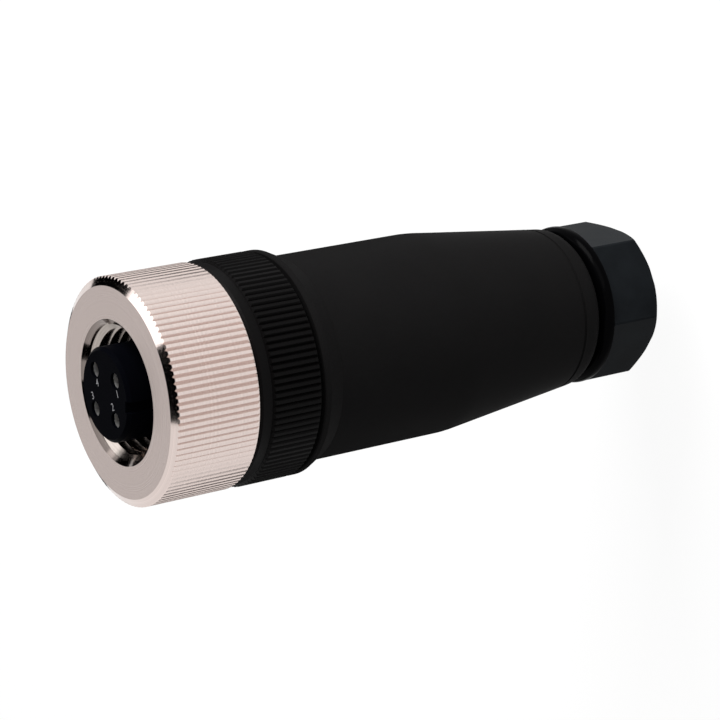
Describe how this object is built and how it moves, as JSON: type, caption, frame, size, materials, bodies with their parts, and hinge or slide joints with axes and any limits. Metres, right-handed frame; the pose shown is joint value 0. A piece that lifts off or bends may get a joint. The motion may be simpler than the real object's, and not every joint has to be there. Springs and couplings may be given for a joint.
{
  "type": "m12 cable connector",
  "caption": "Straight M12 cable socket with knurled coupling nut, grip ring, tapered black housing and hexagonal cable gland.",
  "frame": {"origin": "centre of the hexagon's flat rear face, on the connector's axis", "axes": "+Z along the connector's axis, from the cable gland towards the mating face"},
  "size_m": [0.02, 0.02, 0.055],
  "materials": {
    "nickel_nut": "nickel plated, turned face, knurled rim",
    "spring_steel": "bright spring steel",
    "seal_rubber": "matt rubber",
    "carrier_plastic": "moulded, fine grain",
    "grip_plastic": "moulded, semi gloss",
    "gold_contact": "gold plated",
    "screw_steel": "zinc plated",
    "housing_plastic": "moulded, fine matt grain",
    "cage_plastic": "moulded",
    "washer_steel": "zinc plated",
    "gland_plastic": "moulded, semi gloss"
  },
  "bodies": {
    "housing": {"housing": "housing_plastic", "cable_seal": "seal_rubber"},
    "housing_seal": {"housing_seal": "seal_rubber"},
    "carrier": {"contact_carrier": "carrier_plastic", "threaded_sleeve": "carrier_plastic", "grip_ring": "grip_plastic", "face_seal": "seal_rubber", "contact_1": "gold_contact", "contact_2": "gold_contact", "contact_3": "gold_contact", "contact_4": "gold_contact", "terminal_screws": "screw_steel"},
    "nut_ring": {"nut_retaining_ring": "spring_steel"},
    "coupling_nut": {"coupling_nut": "nickel_nut"},
    "clamp": {"clamp_cage": "cage_plastic", "thrust_washer": "washer_steel"},
    "pressing_screw": {"pressing_screw": "gland_plastic"}
  },
  "joints": [
    {"name": "carrier_lift", "type": "slide", "parent": "housing", "child": "housing_seal", "axis": [0, 0, 1], "range_m": [0, 0.005]},
    {"name": "carrier_turn", "type": "hinge", "parent": "housing_seal", "child": "carrier", "pos_m": [0, 0, 0.0395], "axis": [0, 0, 1], "range_deg": [0, 1836]},
    {"name": "nut_float", "type": "slide", "parent": "carrier", "child": "nut_ring", "axis": [0, 0, 1], "range_m": [0, 0.0009]},
    {"name": "nut_turn", "type": "hinge", "parent": "nut_ring", "child": "coupling_nut", "pos_m": [0, 0, 0.0497], "axis": [0, 0, 1], "continuous": true},
    {"name": "gland_lift", "type": "slide", "parent": "housing", "child": "clamp", "axis": [0, 0, -1], "range_m": [0, 0.00508]},
    {"name": "gland_turn", "type": "hinge", "parent": "clamp", "child": "pressing_screw", "pos_m": [0, 0, 0.0035], "axis": [0, 0, -1], "range_deg": [0, 1476]}
  ],
  "couplings": [
    {"joint": "carrier_turn", "follows": "carrier_lift", "rad_per_m": 6283.2},
    {"joint": "gland_turn", "follows": "gland_lift", "rad_per_m": 4947.4}
  ]
}
